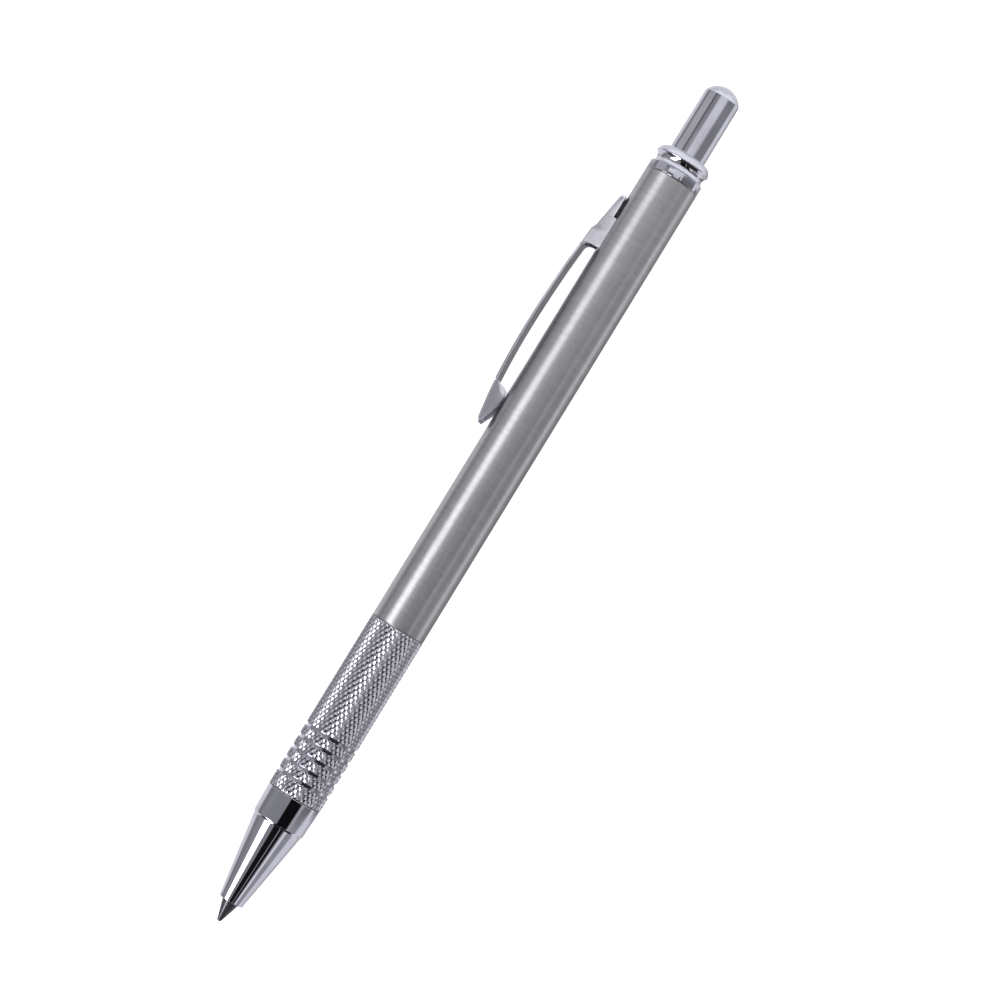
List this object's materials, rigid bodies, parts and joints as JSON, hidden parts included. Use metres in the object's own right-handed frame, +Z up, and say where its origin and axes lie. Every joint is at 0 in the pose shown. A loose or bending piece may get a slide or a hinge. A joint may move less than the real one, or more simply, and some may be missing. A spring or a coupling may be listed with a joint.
{
  "type": "lead holder",
  "caption": "Push-button metal lead holder: chrome nose cone, knurled grip, brushed barrel, pocket clip and domed button; a sprung collet grips the thick graphite lead.",
  "frame": {"origin": "on the table under the middle of the pen's bounding box, the pen lying on its side as it rests", "axes": "+X runs along the pen from the lead's tip to the button, +Z is up, and the pocket clip leans down towards +Y until it touches the table"},
  "size_m": [0.1502, 0.0124, 0.0091],
  "materials": {
    "chrome_nose": "polished chrome plate",
    "chrome_button": "polished chrome plate",
    "knurled_grip": "knurled, nickel plated",
    "brushed_barrel": "satin, brushed round the barrel",
    "clip_steel": "plated spring steel, satin bright",
    "brass_clutch": "turned",
    "brass_turned": "turned",
    "inner_steel": "as drawn",
    "spring_wire": "spring wire",
    "pointer_steel": "hardened, ground",
    "graphite": "graphite, faint sheen"
  },
  "bodies": {
    "holder": {"nozzle": "chrome_nose", "clutch_ring": "brass_clutch", "spring_washer": "inner_steel", "return_spring": "spring_wire", "grip_sleeve": "knurled_grip", "grip_connector": "brass_turned", "barrel_tube": "brushed_barrel", "clip_lock_sleeve": "inner_steel", "end_collar": "chrome_nose"},
    "push_rod": {"collet_body": "brass_clutch", "collet_socket": "brass_turned", "lead_tube": "brass_turned", "button_stem": "brass_turned", "cap_snap_ring": "spring_wire"},
    "jaw_1": {"collet_jaw_1": "brass_clutch"},
    "jaw_2": {"collet_jaw_2": "brass_clutch"},
    "jaw_3": {"collet_jaw_3": "brass_clutch"},
    "lead": {"lead": "graphite"},
    "cap": {"button_cap": "chrome_button", "lead_pointer": "pointer_steel"},
    "clip": {"clip": "clip_steel"}
  },
  "joints": [
    {"name": "button_press", "type": "slide", "parent": "holder", "child": "push_rod", "axis": [-1, 0, 0], "range_m": [0, 0.0035], "stiffness_N_per_m": 800, "springref_m": -0.003, "deforming": ["return_spring"]},
    {"name": "jaw_1_open", "type": "hinge", "parent": "push_rod", "child": "jaw_1", "pos_m": [-0.0495, -0.00165, 0.00646], "axis": [0, 1, 0], "range_deg": [0, 2]},
    {"name": "jaw_2_open", "type": "hinge", "parent": "push_rod", "child": "jaw_2", "pos_m": [-0.0495, -0.00329, 0.00361], "axis": [0, -0.5, 0.866], "range_deg": [0, 2]},
    {"name": "jaw_3_open", "type": "hinge", "parent": "push_rod", "child": "jaw_3", "pos_m": [-0.0495, 0, 0.00361], "axis": [0, -0.5, -0.866], "range_deg": [0, 2]},
    {"name": "lead_feed", "type": "slide", "parent": "push_rod", "child": "lead", "axis": [-1, 0, 0], "range_m": [-0.0037, 0.064]},
    {"name": "cap_pull", "type": "slide", "parent": "push_rod", "child": "cap", "axis": [1, 0, 0], "range_m": [0, 0.02]},
    {"name": "clip_flex", "type": "hinge", "parent": "holder", "child": "clip", "pos_m": [0.0486, 0.00251, 0.00311], "axis": [0, -0.3288, -0.9444], "range_deg": [0, 2.5], "stiffness_Nm_per_rad": 2.5}
  ],
  "couplings": [
    {"joint": "jaw_1_open", "follows": "button_press", "rad_per_m": 9.9},
    {"joint": "jaw_2_open", "follows": "button_press", "rad_per_m": 9.9},
    {"joint": "jaw_3_open", "follows": "button_press", "rad_per_m": 9.9}
  ]
}
